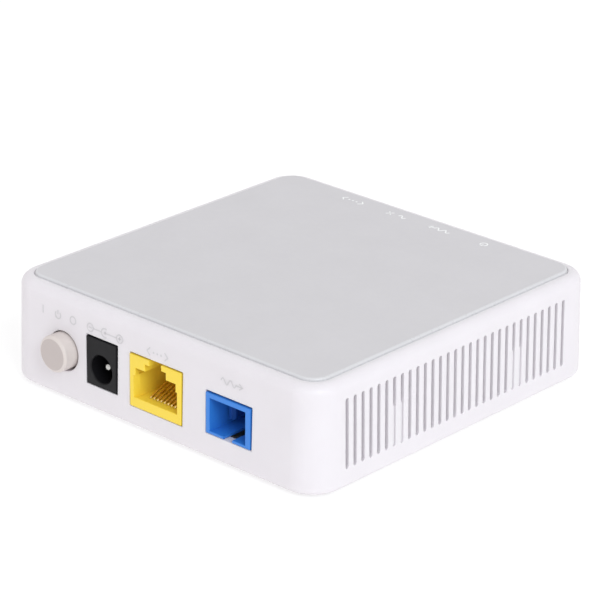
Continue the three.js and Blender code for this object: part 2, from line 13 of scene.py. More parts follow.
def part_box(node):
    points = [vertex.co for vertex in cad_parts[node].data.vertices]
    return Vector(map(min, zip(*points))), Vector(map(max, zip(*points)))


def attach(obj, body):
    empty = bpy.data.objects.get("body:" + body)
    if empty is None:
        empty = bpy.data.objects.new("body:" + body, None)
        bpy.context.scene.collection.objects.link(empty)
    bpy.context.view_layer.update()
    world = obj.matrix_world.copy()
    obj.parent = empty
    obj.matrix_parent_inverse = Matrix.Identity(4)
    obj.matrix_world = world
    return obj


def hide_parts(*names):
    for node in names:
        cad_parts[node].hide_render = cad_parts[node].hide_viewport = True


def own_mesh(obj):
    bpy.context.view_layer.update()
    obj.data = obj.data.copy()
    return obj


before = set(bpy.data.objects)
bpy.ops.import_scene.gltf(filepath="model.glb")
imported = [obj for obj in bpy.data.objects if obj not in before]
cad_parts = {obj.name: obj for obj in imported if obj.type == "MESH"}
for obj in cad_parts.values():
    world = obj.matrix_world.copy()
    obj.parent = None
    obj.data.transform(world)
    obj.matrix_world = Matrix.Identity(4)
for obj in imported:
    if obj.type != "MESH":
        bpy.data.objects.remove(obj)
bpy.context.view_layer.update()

MM = 0.001
TO_Y = Matrix.Rotation(math.radians(-90), 4, "X")  # what points up then points along +Y


# ---- Where the frame puts things, in millimetres ----


def box_mm(node):
    low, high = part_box(node)
    return Vector(low) / MM, Vector(high) / MM


def middle_mm(node):
    low, high = box_mm(node)
    return (low + high) / 2


shell_low, shell_high = box_mm("upper_shell")
panel_low, panel_high = box_mm("top_panel")
CASE = Vector((0, (panel_low.y + panel_high.y) / 2, 0))  # the case's own middle, on the ground
RIM_Z = shell_high.z
SKIRT_Z = shell_low.z
PANEL_WIDER = 0.1  # how much wider the panel is below its groove
PANEL_HALF = (panel_high.x - panel_low.x) / 2 - PANEL_WIDER

CASE_HALF = 44.8  # half width of the walls at CASE_MID_Z
CASE_MID_Z = 13.2
WALL_DRAFT = math.radians(1.33)
CASE_CORNER_R = 7
RIM_FILLET_R = 2.3
SKIRT_FILLET_R = 1.45
INNER_HALF = 42.7
INNER_CORNER_R = 4.9
CEILING_Z = 22
PANEL_CORNER_R = 4.25
PANEL_BEVEL = 0.5
GROOVE = 0.2
GROOVE_DEPTH = 0.12
BOND_GAP = 0.1
FIT_GAP = 0.3


def wall_half(z):
    return CASE_HALF + math.tan(WALL_DRAFT) * (CASE_MID_Z - z)


# ---- Outlines ----


def arc(centre_u, centre_v, radius, start, end, steps):
    """Points on an arc, with its angles in degrees."""
    points = []
    for step in range(steps + 1):
        angle = math.radians(start + (end - start) * step / steps)
        points.append((centre_u + radius * math.cos(angle), centre_v + radius * math.sin(angle)))
    return points


def rounded(half_u, half_v, radius, steps):
    """A rounded rectangle, a slot or a circle, anticlockwise round the origin."""
    points = []
    for corner, (side_u, side_v) in enumerate(((1, 1), (-1, 1), (-1, -1), (1, -1))):
        centre_u, centre_v = side_u * (half_u - radius), side_v * (half_v - radius)
        points += arc(centre_u, centre_v, radius, 90 * corner, 90 * corner + 90, steps)
    return [p for i, p in enumerate(points) if math.dist(p, points[i - 1]) > 1e-6]


def grown(outline, amount):
    """A closed anticlockwise outline with square corners, moved outwards by an amount."""
    moved = []
    for i, point in enumerate(outline):
        before, after = outline[i - 1], outline[(i + 1) % len(outline)]
        normals = []
        for a, b in ((before, point), (point, after)):
            side = Vector((b[1] - a[1], a[0] - b[0]))
            normals.append(side.normalized())
        mitre = (normals[0] + normals[1]) / (1 + normals[0].dot(normals[1]))
        moved.append((point[0] + mitre.x * amount, point[1] + mitre.y * amount))
    return moved


def filleted(corners, steps=5):
    """An open profile through (u, v, radius) corners, each rounded with its own radius."""
    points = []
    for i, (u, v, radius) in enumerate(corners):
        here = Vector((u, v))
        if radius == 0 or i in (0, len(corners) - 1):
            points.append((u, v))
            continue
        back = (Vector(corners[i - 1][:2]) - here).normalized()
        forth = (Vector(corners[i + 1][:2]) - here).normalized()
        half_angle = back.angle(forth) / 2
        centre = here + (back + forth).normalized() * radius / math.sin(half_angle)
        reach = radius / math.tan(half_angle)
        start, end = here + back * reach - centre, here + forth * reach - centre
        first = math.atan2(start.y, start.x)
        sweep = math.atan2(start.x * end.y - start.y * end.x, start.dot(end))
        for step in range(steps + 1):
            angle = first + sweep * step / steps
            points.append((centre.x + radius * math.cos(angle), centre.y + radius * math.sin(angle)))
    return points


# ---- Solids, as bmesh ----


def loft(mesh, rings):
    """A solid through rings of equal length, closed at both ends."""
    rows = [[mesh.verts.new(point) for point in ring] for ring in rings]
    for lower, upper in zip(rows, rows[1:]):
        for i in range(len(lower)):
            j = (i + 1) % len(lower)
            mesh.faces.new((lower[i], lower[j], upper[j], upper[i]))
    mesh.faces.new(rows[0][::-1])
    mesh.faces.new(rows[-1])


def prism(mesh, sections, matrix=Matrix()):
    """A solid through (outline, height) sections, which all have the same number of points."""
    loft(mesh, [[matrix @ Vector((u, v, height)) for u, v in outline] for outline, height in sections])


def block(mesh, low, high, edge):
    """A box with rounded upright edges and softened top and bottom edges."""
    half_x, half_y = (high[0] - low[0]) / 2, (high[1] - low[1]) / 2
    edge = min(edge, half_x * 0.45, half_y * 0.45, (high[2] - low[2]) * 0.3)
    place = Matrix.Translation((low[0] + half_x, low[1] + half_y, 0))
    inset = edge * (1 - math.cos(math.radians(45)))
    levels = ((edge, 0), (inset, inset), (0, edge))
    rings = [(inward, low[2] + rise) for inward, rise in levels]
    rings += [(inward, high[2] - rise) for inward, rise in reversed(levels)]
    corner = edge * 1.5
    sections = []
    for inward, height in rings:
        sections.append((rounded(half_x - inward, half_y - inward, corner - inward, 2), height))
    prism(mesh, sections, place)


def turned(mesh, profile, steps, matrix=Matrix()):
    """A solid of revolution about Z through (radius, z) points. It starts and ends on the axis."""
    rows = []
    for radius, height in profile:
        count = 1 if radius < 1e-6 else steps
        ring = []
        for i in range(count):
            angle = 2 * math.pi * i / steps
            point = Vector((radius * math.cos(angle), radius * math.sin(angle), height))
            ring.append(mesh.verts.new(matrix @ point))
        rows.append(ring)
    for lower, upper in zip(rows, rows[1:]):
        for i in range(steps):
            j = (i + 1) % steps
            corners = [lower[i % len(lower)], lower[j % len(lower)]]
            corners += [upper[j % len(upper)], upper[i % len(upper)]]
            corners = [v for k, v in enumerate(corners) if v not in corners[:k]]
            if len(corners) > 2:
                mesh.faces.new(corners)


def swept(mesh, path, width, thickness):
    """A flat wire with softened edges that follows a path drawn in Y and Z."""
    section = rounded(width / 2, thickness / 2, thickness * 0.3, 2)
    rings = []
    for i, point in enumerate(path):
        before, after = path[max(i - 1, 0)], path[min(i + 1, len(path) - 1)]
        along = Vector((0, after[0] - before[0], after[1] - before[1])).normalized()
        across = Vector((1, 0, 0)).cross(along)
        centre = Vector((0, point[0], point[1]))
        rings.append([centre + Vector((u, 0, 0)) + across * v for u, v in section])
    loft(mesh, rings)


# ---- Objects ----


def made(name, mesh):
    """A Blender object, still in millimetres, from a bmesh."""
    bmesh.ops.recalc_face_normals(mesh, faces=mesh.faces)
    data = bpy.data.meshes.new(name)
    mesh.to_mesh(data)
    mesh.free()
    obj = bpy.data.objects.new(name, data)
    bpy.context.scene.collection.objects.link(obj)
    return obj


def with_modifiers_applied(obj):
    graph = bpy.context.evaluated_depsgraph_get()
    obj.data = bpy.data.meshes.new_from_object(obj.evaluated_get(graph))
    obj.modifiers.clear()


def combine(obj, tool, operation):
    """Cuts a tool out of an object, or joins it on. The tool may be several solids that overlap."""
    change = obj.modifiers.new("combine", "BOOLEAN")
    change.object = tool
    change.operation = operation
    change.solver = "EXACT"
    change.use_self = True
    with_modifiers_applied(obj)
    bpy.data.objects.remove(tool)


def cut(obj, mesh):
    combine(obj, made("cutter", mesh), "DIFFERENCE")


def join(obj, mesh):
    combine(obj, made("addition", mesh), "UNION")


WELD = 0.001  # points nearer to each other than this are left over from cutting, and become one
SHARP = math.radians(32)  # edges that turn by more than this are shaded as sharp


def piece(obj, material, body="root", at=(0, 0, 0), replaces=()):
    """Finishes a piece: puts it in place, shades it, hangs it on the empty of the body that it rides on,
    and hides the CAD parts that it stands for.
    """
    mesh = bmesh.new()
    mesh.from_mesh(obj.data)
    bmesh.ops.remove_doubles(mesh, verts=mesh.verts, dist=WELD)
    bmesh.ops.translate(mesh, vec=at, verts=mesh.verts)
    bmesh.ops.scale(mesh, vec=(MM, MM, MM), verts=mesh.verts)
    for face in mesh.faces:
        face.smooth = True
    for edge in mesh.edges:
        edge.smooth = edge.calc_face_angle(0) < SHARP
    mesh.to_mesh(obj.data)
    mesh.free()
    weighted = obj.modifiers.new("even shading", "WEIGHTED_NORMAL")
    weighted.keep_sharp = True
    obj.data.materials.clear()
    obj.data.materials.append(material)
    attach(obj, body)
    if replaces:
        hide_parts(*replaces)
    return obj


def refinish(obj, material, chosen):
    """Gives the faces that chosen(face) picks a second material."""
    obj.data.materials.append(material)
    mesh = bmesh.new()
    mesh.from_mesh(obj.data)
    for face in mesh.faces:
        if chosen(face):
            face.material_index = 1
    mesh.to_mesh(obj.data)
    mesh.free()


# ---- Materials ----

NOISE_LOW, NOISE_HIGH = 0.3, 0.7  # nearly all of a noise texture's values lie between these


class Surface:
    """A procedural material: a Principled shader, with noise worked into its colour, gloss and relief."""

    def __init__(self, name, color, roughness, metallic=0.0):
        self.material = bpy.data.materials.new(name)
        self.material.use_nodes = True
        self.tree = self.material.node_tree
        self.shader = self.tree.nodes["Principled BSDF"]
        self.color = color
        self.roughness = roughness
        self.set("Base Color", (*color, 1))
        self.set("Roughness", roughness)
        self.set("Metallic", metallic)
        self.place = self.add("ShaderNodeTexCoord").outputs["Object"]
        self.relief = None

    def add(self, kind, **settings):
        node = self.tree.nodes.new(kind)
        for key, value in settings.items():
            setattr(node, key, value)
        return node

    def link(self, output, socket):
        self.tree.links.new(output, socket)

    def set(self, socket, value):
        self.shader.inputs[socket].default_value = value

    def noise(self, size_mm, detail=3.0, stretch=(1, 1, 1)):
        """Noise with features of the given size."""
        mapping = self.add("ShaderNodeMapping")
        mapping.inputs["Scale"].default_value = stretch
        self.link(self.place, mapping.inputs["Vector"])
        noise = self.add("ShaderNodeTexNoise")
        noise.inputs["Scale"].default_value = 1 / (size_mm * MM)
        noise.inputs["Detail"].default_value = detail
        self.link(mapping.outputs["Vector"], noise.inputs["Vector"])
        return noise.outputs["Fac"]

    def span(self, noise, low, high):
        """Maps noise onto a range of values."""
        mapped = self.add("ShaderNodeMapRange")
        ends = (("From Min", NOISE_LOW), ("From Max", NOISE_HIGH), ("To Min", low), ("To Max", high))
        for key, value in ends:
            mapped.inputs[key].default_value = value
        self.link(noise, mapped.inputs["Value"])
        return mapped.outputs["Result"]

    def blend(self, factor, low, high):
        """A colour between two colours."""
        mix = self.add("ShaderNodeMix", data_type="RGBA")
        self.link(factor, mix.inputs["Factor"])
        for socket, color in (("A", low), ("B", high)):
            colors = [s for s in mix.inputs if s.name == socket and s.type == "RGBA"]
            colors[0].default_value = (*color, 1)
        return [s for s in mix.outputs if s.type == "RGBA"][0]

    def mottled(self, amount, size_mm):
        """Slow variation of the colour."""
        factor = self.span(self.noise(size_mm), 0, 1)
        dark = [c * (1 - amount) for c in self.color]
        light = [min(c * (1 + amount), 1) for c in self.color]
        self.link(self.blend(factor, dark, light), self.shader.inputs["Base Color"])
        return self

    def uneven(self, amount, size_mm):
        """Variation of the gloss."""
        rough = self.span(self.noise(size_mm), self.roughness - amount, self.roughness + amount)
        self.link(rough, self.shader.inputs["Roughness"])
        return self

    def grained(self, height_mm, size_mm, stretch=(1, 1, 1)):
        """A layer of fine relief. Later layers lie on top of earlier ones."""
        bump = self.add("ShaderNodeBump")
        bump.inputs["Distance"].default_value = height_mm * MM
        bump.inputs["Strength"].default_value = 1
        self.link(self.noise(size_mm, 2.0, stretch), bump.inputs["Height"])
        if self.relief:
            self.link(self.relief, bump.inputs["Normal"])
        self.relief = bump.outputs["Normal"]
        self.link(self.relief, self.shader.inputs["Normal"])
        return self


def moulded(name, color, roughness, grain_mm=0.006, grain_size=0.22, sheen=0.5):
    """Injection-moulded plastic: an even colour with a fine spark-eroded texture."""
    surface = Surface(name, color, roughness)
    surface.set("Specular IOR Level", sheen)
    surface.mottled(0.012, 9).uneven(0.05, 1.6).grained(grain_mm, grain_size).grained(0.02, 14)
    return surface


def translucent(surface, weight, depth_mm):
    """Lets a little light through the plastic, so that thin ribs and slots glow as they do in ABS."""
    surface.set("Subsurface Weight", weight)
    surface.set("Subsurface Radius", (1.0, 0.96, 1.0))
    surface.set("Subsurface Scale", depth_mm * MM)
    return surface


def metal(name, color, roughness, brushed=(1, 1, 1)):
    surface = Surface(name, color, roughness, metallic=1.0)
    surface.mottled(0.05, 2.5).uneven(0.07, 0.5).grained(0.004, 0.12, brushed)
    return surface


def circuit_board():
    """Solder mask over copper: lighter lines where tracks run under it, and tinned pads."""
    surface = Surface("solder_mask", (0.012, 0.13, 0.045), 0.32)
    tracks = surface.add("ShaderNodeTexBrick")
    for key, value in (("Scale", 420), ("Mortar Size", 0.12), ("Brick Width", 1.9), ("Row Height", 0.55)):
        tracks.inputs[key].default_value = value
    tracks.inputs["Color1"].default_value = (0.010, 0.105, 0.036, 1)
    tracks.inputs["Color2"].default_value = (0.012, 0.125, 0.045, 1)
    tracks.inputs["Mortar"].default_value = (0.03, 0.24, 0.09, 1)
    surface.link(surface.place, tracks.inputs["Vector"])
    surface.link(tracks.outputs["Color"], surface.shader.inputs["Base Color"])
    surface.set("Coat Weight", 0.4)
    surface.set("Coat Roughness", 0.15)
    surface.uneven(0.06, 3).grained(0.01, 0.9)
    return surface


def frosted_plastic():
    surface = Surface("frosted_polycarbonate", (0.93, 0.95, 0.95), 0.3)
    surface.set("Transmission Weight", 0.55)
    surface.set("IOR", 1.58)
    surface.uneven(0.04, 0.8).grained(0.003, 0.4)
    return surface


SHELL_WHITE = translucent(moulded("shell_white_abs", (0.757, 0.718, 0.75), 0.42), 0.4, 2)
BASE_WHITE = moulded("base_white_abs", (0.745, 0.715, 0.74), 0.5)
PANEL_GREY = moulded("panel_satin_grey", (0.614, 0.594, 0.616), 0.5, 0.004, 0.16)
# A lighter copy of the panel grey for its bevel and sides: a painted highlight along the edge, with a
# glossier finish.
PANEL_EDGE_HIGHLIGHT = moulded("panel_edge_painted_highlight", (0.65, 0.64, 0.66), 0.3, 0.002, 0.16)
# A darker copy of the button grey for its front face: painted shade for the face, which gets less light
# than the side, with a coarser texture.
BUTTON_FACE_SHADED = moulded("button_face_textured_painted_shade", (0.52, 0.455, 0.44), 0.55, 0.008, 0.14)
BUTTON_GREY = moulded("button_warm_grey", (0.66, 0.59, 0.565), 0.38, 0.003)
BLACK = moulded("connector_black_pbt", (0.008, 0.0075, 0.009), 0.42, 0.008, 0.18, 0.19)
YELLOW = moulded("connector_yellow_pbt", (0.90, 0.66, 0.06), 0.4, 0.006, 0.2)
BLUE = moulded("connector_blue_pbt", (0.033, 0.212, 0.68), 0.36, 0.005, 0.2)
# A darker copy of the connector blue for the latch insert deep in the fibre socket: painted shade inside
# the opening.
BLUE_PAINTED_SHADE = moulded("connector_blue_pbt_painted_shade", (0.015, 0.095, 0.37), 0.36, 0.005, 0.2, 0.4)
NYLON = moulded("natural_nylon", (0.76, 0.73, 0.64), 0.38)
PHENOLIC = moulded("phenolic_plate", (0.24, 0.12, 0.055), 0.55, 0.015, 0.5)
EPOXY = moulded("chip_epoxy", (0.022, 0.022, 0.024), 0.5, 0.012, 0.1)
RUBBER = moulded("foot_rubber", (0.045, 0.045, 0.047), 0.78, 0.02, 0.3)
LABEL_FILM = moulded("label_film", (0.80, 0.80, 0.79), 0.5, 0.003, 0.5)
LED_EPOXY = moulded("led_epoxy", (0.82, 0.78, 0.55), 0.25, 0.003)
ZIRCONIA = moulded("zirconia", (0.88, 0.87, 0.83), 0.18, 0.001)
WALL_INK = moulded("wall_ink", (0.62, 0.595, 0.615), 0.5, 0.003)
PANEL_INK = moulded("panel_ink", (0.90, 0.90, 0.90), 0.5, 0.003)
STEEL = metal("zinc_plated_steel", (0.60, 0.61, 0.63), 0.32)
NICKEL = metal("nickel_plate", (0.58, 0.57, 0.55), 0.22)
GOLD = metal("gold_plate", (0.93, 0.70, 0.30), 0.34)
ALUMINIUM = metal("turned_aluminium", (0.80, 0.81, 0.83), 0.3, (1, 6, 1))
CAN = metal("capacitor_can", (0.82, 0.83, 0.85), 0.26, (1, 1, 5))
BOARD = circuit_board()
CLEAR = frosted_plastic()


# ---- Camera: the case seen from above its port and grille corner ----

CAMERA_AZIMUTH = math.radians(42.29)
CAMERA_ELEVATION = math.radians(22.94)
CAMERA_ROLL = math.radians(0.73)
CAMERA_DISTANCE = 635.1
PANEL_RIGHT_OF_MIDDLE = 0.49  # how far the panel's middle lies from the picture's middle
PANEL_ABOVE_MIDDLE = 6.78
SENSOR = 36
LENS = 177.3


def add_camera():
    cos_e, sin_e = math.cos(CAMERA_ELEVATION), math.sin(CAMERA_ELEVATION)
    cos_a, sin_a = math.cos(CAMERA_AZIMUTH), math.sin(CAMERA_AZIMUTH)
    back = Vector((sin_a * cos_e, -cos_a * cos_e, sin_e))
    level = Vector((cos_a, sin_a, 0))
    upright = back.cross(level)
    right = level * math.cos(CAMERA_ROLL) + upright * math.sin(CAMERA_ROLL)
    up = back.cross(right)
    panel_middle = CASE + Vector((0, 0, panel_high.z))
    place = panel_middle + back * CAMERA_DISTANCE - right * PANEL_RIGHT_OF_MIDDLE - up * PANEL_ABOVE_MIDDLE
    data = bpy.data.cameras.new("camera")
    data.sensor_width = SENSOR
    data.lens = LENS
    data.clip_start = 0.01
    camera = bpy.data.objects.new("camera", data)
    camera.matrix_world = Matrix.Translation(place * MM) @ Matrix((right, up, back)).transposed().to_4x4()
    bpy.context.scene.collection.objects.link(camera)
    bpy.context.scene.camera = camera


add_camera()


# ---- Case ----


def square_ring(half, corner_r, z):
    return [(u, v, z) for u, v in rounded(half, half, corner_r, 12)]


def on_wall(side, along, z, depth):
    """A point in a wall, at a depth below its outer face. The side is +x, -x, +y or -y."""
    out = wall_half(z) - depth
    sign = 1 if side[0] == "+" else -1
    return (sign * out, along, z) if side[1] == "x" else (along, sign * out, z)


def wall_hole(mesh, side, along, z, half_u, half_v, radius, flare, steps=4):
    """A cutter for a hole through a wall, with a small chamfer at its mouth."""
    rings = []
    for growth, below in ((0, CUT_DEPTH), (0, flare), (flare * 3, -flare * 2)):
        outline = rounded(half_u + growth, half_v + growth, radius + growth, steps)
        rings.append([on_wall(side, along + u, z + v, below) for u, v in outline])
    loft(mesh, rings)


SLOTS_PER_WALL = 30
SLOT_PITCH = 2.397
SLOT_WIDTH = 0.95
SLOT_HEIGHT = 15.4
SLOT_MID_Z = 12.85
FIRST_SLOT_Y = -35.3
# The room to the right of each port, and above it. On the other two sides it is BOND_GAP.
PORT_ROOM = {"dc_jack_housing": (0.4, 0.32), "rj45_housing": (0.4, 0.32), "sc_receptacle": (0.45, 0.45)}
LED_XS = [middle_mm(f"indicator_led_{i}").x for i in range(1, 5)]
WINDOW_Z = 14
WINDOW_R = 1.1
WINDOW_GAP = 0.15
BUTTON_HOLE_R = 4.5
HOLE_SHIFT = 0.1  # how far the middle of the hole lies from the button's, to +X and to -Z
CUT_DEPTH = 4  # of the cutters, from the wall's face into the case
button_middle = middle_mm("power_button")
COLUMN_R = 2.9  # of the columns that the base screws go up into
COLUMN_BORE_R = 1.3
COLUMN_BORE_TOP_Z = 14
COLUMN_BOTTOM_Z = 4.2
BOSS_R = 2.5  # of the bosses that the board hangs from
BOSS_BORE_R = 1.1
ROOT = 0.4  # how far columns and bosses reach into the ceiling
CORNERS = range(1, 5)
BOARD_TOP_Z = box_mm("main_board")[1].z


def case_place(node):
    """A node's middle in the case's own coordinates."""
    return middle_mm(node) - CASE


def ground_under(node):
    """The move from the case's own middle to the place on the ground under a node."""
    place = case_place(node)
    return Matrix.Translation((place.x, place.y, 0))


def upper_shell():
    cavity = [(INNER_HALF - 0.6, CEILING_Z), (INNER_HALF - 0.2, CEILING_Z - 0.2)]
    cavity += [(INNER_HALF, CEILING_Z - 0.6), (INNER_HALF, SKIRT_Z + 0.15), (INNER_HALF + 0.15, SKIRT_Z)]
    low_z, high_z = SKIRT_Z + SKIRT_FILLET_R, RIM_Z - RIM_FILLET_R
    outside = arc(wall_half(low_z) - SKIRT_FILLET_R, low_z, SKIRT_FILLET_R, -90, 0, 6)
    outside += arc(wall_half(high_z) - RIM_FILLET_R, high_z, RIM_FILLET_R, 0, 90, 9)
    recess_half = PANEL_HALF + GROOVE
    recess_z = panel_low.z - BOND_GAP
    outside += [(recess_half + 0.15, RIM_Z), (recess_half, RIM_Z - 0.15), (recess_half, recess_z)]
    spread = (CASE_CORNER_R - PANEL_CORNER_R - GROOVE) / (CASE_HALF - recess_half)
    rings = [square_ring(half, INNER_CORNER_R + half - INNER_HALF, z) for half, z in cavity]
    rings += [square_ring(half, CASE_CORNER_R + (half - CASE_HALF) * spread, z) for half, z in outside]
    mesh = bmesh.new()
    loft(mesh, rings)
    shell = made("shell", mesh)

    fittings = bmesh.new()
    boss_bottom = BOARD_TOP_Z + BOND_GAP
    column = [(0, COLUMN_BORE_TOP_Z), (COLUMN_BORE_R, COLUMN_BORE_TOP_Z), (COLUMN_BORE_R, COLUMN_BOTTOM_Z)]
    column += [(COLUMN_R - 0.15, COLUMN_BOTTOM_Z), (COLUMN_R, COLUMN_BOTTOM_Z + 0.15)]
    boss = [(0, CEILING_Z + ROOT - 0.1), (BOSS_BORE_R, CEILING_Z + ROOT - 0.1), (BOSS_BORE_R, boss_bottom)]
    boss += [(BOSS_R - 0.1, boss_bottom), (BOSS_R, boss_bottom + 0.1)]
    for profile, prefix in ((column, "base_screw"), (boss, "board_screw")):
        root = [(profile[-1][0], CEILING_Z + ROOT), (0, CEILING_Z + ROOT)]
        for i in CORNERS:
            turned(fittings, profile + root, 24, ground_under(f"{prefix}_{i}"))
    join(shell, fittings)

    holes = bmesh.new()
    for side in ("+x", "-x"):
        for i in range(SLOTS_PER_WALL):
            along = FIRST_SLOT_Y + i * SLOT_PITCH
            half_u, half_v = SLOT_WIDTH / 2, SLOT_HEIGHT / 2
            wall_hole(holes, side, along, SLOT_MID_Z, half_u, half_v, SLOT_WIDTH / 2, 0.1)
    radius = WINDOW_R + WINDOW_GAP
    for x in LED_XS:
        wall_hole(holes, "+y", x, WINDOW_Z, radius, radius, radius, 0.08)
    for node, (room_right, room_above) in PORT_ROOM.items():
        low, high = box_mm(node)
        low_u, low_v = low.x - BOND_GAP, low.z - BOND_GAP
        half_u, half_v = (high.x + room_right - low_u) / 2, (high.z + room_above - low_v) / 2
        wall_hole(holes, "-y", low_u + half_u, low_v + half_v, half_u, half_v, 0.2, 0.06)
    hole_x, hole_z, radius = button_middle.x + HOLE_SHIFT, button_middle.z - HOLE_SHIFT, BUTTON_HOLE_R
    wall_hole(holes, "-y", hole_x, hole_z, radius, radius, radius, 0.08, steps=12)
    cut(shell, holes)
    piece(shell, SHELL_WHITE.material, at=CASE, replaces=["upper_shell"])


def top_panel():
    wide, step_z = PANEL_HALF + PANEL_WIDER, RIM_Z - GROOVE_DEPTH
    profile = [(wide - 0.1, panel_low.z), (wide, panel_low.z + 0.1), (wide, step_z - 0.05)]
    profile.append((PANEL_HALF, step_z))
    profile += arc(PANEL_HALF - PANEL_BEVEL, panel_high.z - PANEL_BEVEL, PANEL_BEVEL, 0, 90, 5)
    mesh = bmesh.new()
    loft(mesh, [square_ring(half, PANEL_CORNER_R + half - PANEL_HALF, z) for half, z in profile])
    panel = piece(made("panel", mesh), PANEL_GREY.material, at=CASE, replaces=["top_panel"])
    # The bevel and sides take the lighter grey of the painted edge highlight.
    refinish(panel, PANEL_EDGE_HIGHLIGHT.material, lambda face: face.normal.z < 0.99)


PLATE_TOP_Z = SKIRT_Z + 1.8
FITTING_BOTTOM_Z = PLATE_TOP_Z - 0.5  # posts and cups start inside the plate
POST_TOP_Z = 15.05
POSTS_Y = (-19.76, 18.64)
POST_INSET = 0.9  # of its middle, from the plate's edge
POST_HALF_X = 0.7
POST_HALF_Y = 2
CATCH_SLOTS = (6, 7, 22, 23)  # the slots that the posts' teeth snap into, counted from 0
# Each tooth is drawn through three outlines: the depth below the wall's face, and the drop of its top
# below the post's top.
TOOTH_OUTLINES = ((3.1, 0), (1.5, 0.3), (0.5, 1.2))
TOOTH_GAP = 0.04
CUP_R = 3.9  # of the cups that stand under the screw columns
WELL_R = 2.8  # of the wells that the screw heads sit in
WELL_TOP_Z = 2.9
SCREW_HOLE_R = 1.4
BELOW_SKIRT_Z = 0.4  # where the cutters for wells and pockets start
ABOVE_CUP_Z = 5  # where the cutters for screw holes end
LABEL_CORNER_R = 1.5


def tooth(mesh, side, along):
    """A snap tooth that fills the lower part of a slot, below its sloping top."""
    radius = SLOT_WIDTH / 2 - TOOTH_GAP
    foot_z = SLOT_MID_Z - SLOT_HEIGHT / 2 + SLOT_WIDTH / 2
    rings = []
    for depth, drop in TOOTH_OUTLINES:
        top_z = POST_TOP_Z - drop
        outline = [(radius, top_z), (-radius, top_z), *arc(0, foot_z, radius, 180, 360, 8)]
        rings.append([on_wall(side, along + u, z, depth) for u, z in outline])
    loft(mesh, rings)


def base_cover():
    half = INNER_HALF - FIT_GAP
    corner_r = INNER_CORNER_R - FIT_GAP
    profile = [(half - 0.35, SKIRT_Z), (half - 0.1, SKIRT_Z + 0.1), (half, SKIRT_Z + 0.35)]
    profile += [(half, PLATE_TOP_Z - 0.1), (half - 0.1, PLATE_TOP_Z)]
    mesh = bmesh.new()
    loft(mesh, [square_ring(size, corner_r + size - half, z) for size, z in profile])
    cover = made("base", mesh)

    fittings = bmesh.new()
    for side in (-1, 1):
        for y in POSTS_Y:
            x = side * (half - POST_INSET)
            low = (x - POST_HALF_X, y - POST_HALF_Y, FITTING_BOTTOM_Z)
            block(fittings, low, (x + POST_HALF_X, y + POST_HALF_Y, POST_TOP_Z), 0.2)
    for side in ("+x", "-x"):
        for slot in CATCH_SLOTS:
            tooth(fittings, side, FIRST_SLOT_Y + slot * SLOT_PITCH)
    cup_top = COLUMN_BOTTOM_Z - BOND_GAP
    cup = [(0, FITTING_BOTTOM_Z), (CUP_R, FITTING_BOTTOM_Z)]
    cup += [(CUP_R, cup_top - 0.15), (CUP_R - 0.15, cup_top), (0, cup_top)]
    for i in CORNERS:
        turned(fittings, cup, 40, ground_under(f"base_screw_{i}"))
    join(cover, fittings)

    pockets = bmesh.new()
    well = [(0, BELOW_SKIRT_Z), (WELL_R + 0.4, BELOW_SKIRT_Z), (WELL_R, SKIRT_Z + 0.12)]
    well += [(WELL_R, WELL_TOP_Z), (SCREW_HOLE_R, WELL_TOP_Z)]
    well += [(SCREW_HOLE_R, ABOVE_CUP_Z), (0, ABOVE_CUP_Z)]
    foot_low, foot_high = box_mm("foot_1")
    pocket_r, pocket_top = (foot_high.x - foot_low.x) / 2 + FIT_GAP, foot_high.z + BOND_GAP
    pocket = [(0, BELOW_SKIRT_Z), (pocket_r + 0.4, BELOW_SKIRT_Z), (pocket_r, SKIRT_Z + 0.1)]
    pocket += [(pocket_r, pocket_top), (0, pocket_top)]
    for i in CORNERS:
        turned(pockets, well, 40, ground_under(f"base_screw_{i}"))
        turned(pockets, pocket, 56, ground_under(f"foot_{i}"))
    low, high = box_mm("rating_label")
    half_x, half_y = (high.x - low.x) / 2 + FIT_GAP, (high.y - low.y) / 2 + FIT_GAP
    recess = []
    for growth, z in ((0.4, SKIRT_Z - 0.3), (0, SKIRT_Z + 0.1), (0, SKIRT_Z + 0.3)):
        corner_r = LABEL_CORNER_R + FIT_GAP + growth
        recess.append((rounded(half_x + growth, half_y + growth, corner_r, 6), z))
    prism(pockets, recess, ground_under("rating_label"))
    cut(cover, pockets)
    piece(cover, BASE_WHITE.material, at=CASE, replaces=["base_cover"])


def rating_label():
    """A blank film with a printed frame and ruled fields, and no words."""
    low, high = box_mm("rating_label")
    middle, half_x, half_y = (low + high) / 2, (high.x - low.x) / 2, (high.y - low.y) / 2
    mesh = bmesh.new()
    sections = []
    for inset, z in ((0.05, 0), (0, 0.05), (0, high.z - low.z)):
        sections.append((rounded(half_x - inset, half_y - inset, LABEL_CORNER_R - inset, 6), z))
    prism(mesh, sections, Matrix.Translation((0, 0, low.z)))
    label = made("label", mesh)
    piece(label, LABEL_FILM.material, at=(middle.x, middle.y, 0), replaces=["rating_label"])
    mesh = bmesh.new()

    def onto(u, v, rise):
        return Vector((middle.x + u, middle.y - v, low.z - rise))

    stroke(mesh, rounded(half_x - 1.2, half_y - 1.2, 0.8, 4), 0.15, onto, closed=True)
    for v in (6.5, 1.5, -3.5):
        stroke(mesh, [(1.2 - half_x, v), (half_x - 1.2, v)], 0.12, onto)
    stroke(mesh, [(4, 1.5), (4, 1.2 - half_y)], 0.12, onto)
    piece(made("label_ruling", mesh), WALL_INK.material)


def feet():
    low, high = box_mm("foot_1")
    radius, height = (high.x - low.x) / 2, high.z - low.z
    corners = [(0, 0, 0), (radius - 0.35, 0, 0.55), (radius, height, 0.1), (0, height, 0)]
    for i in CORNERS:
        mesh = bmesh.new()
        turned(mesh, filleted(corners), 56)
        place = middle_mm(f"foot_{i}")
        pad = made(f"pad_{i}", mesh)
        piece(pad, RUBBER.material, at=(place.x, place.y, 0), replaces=[f"foot_{i}"])


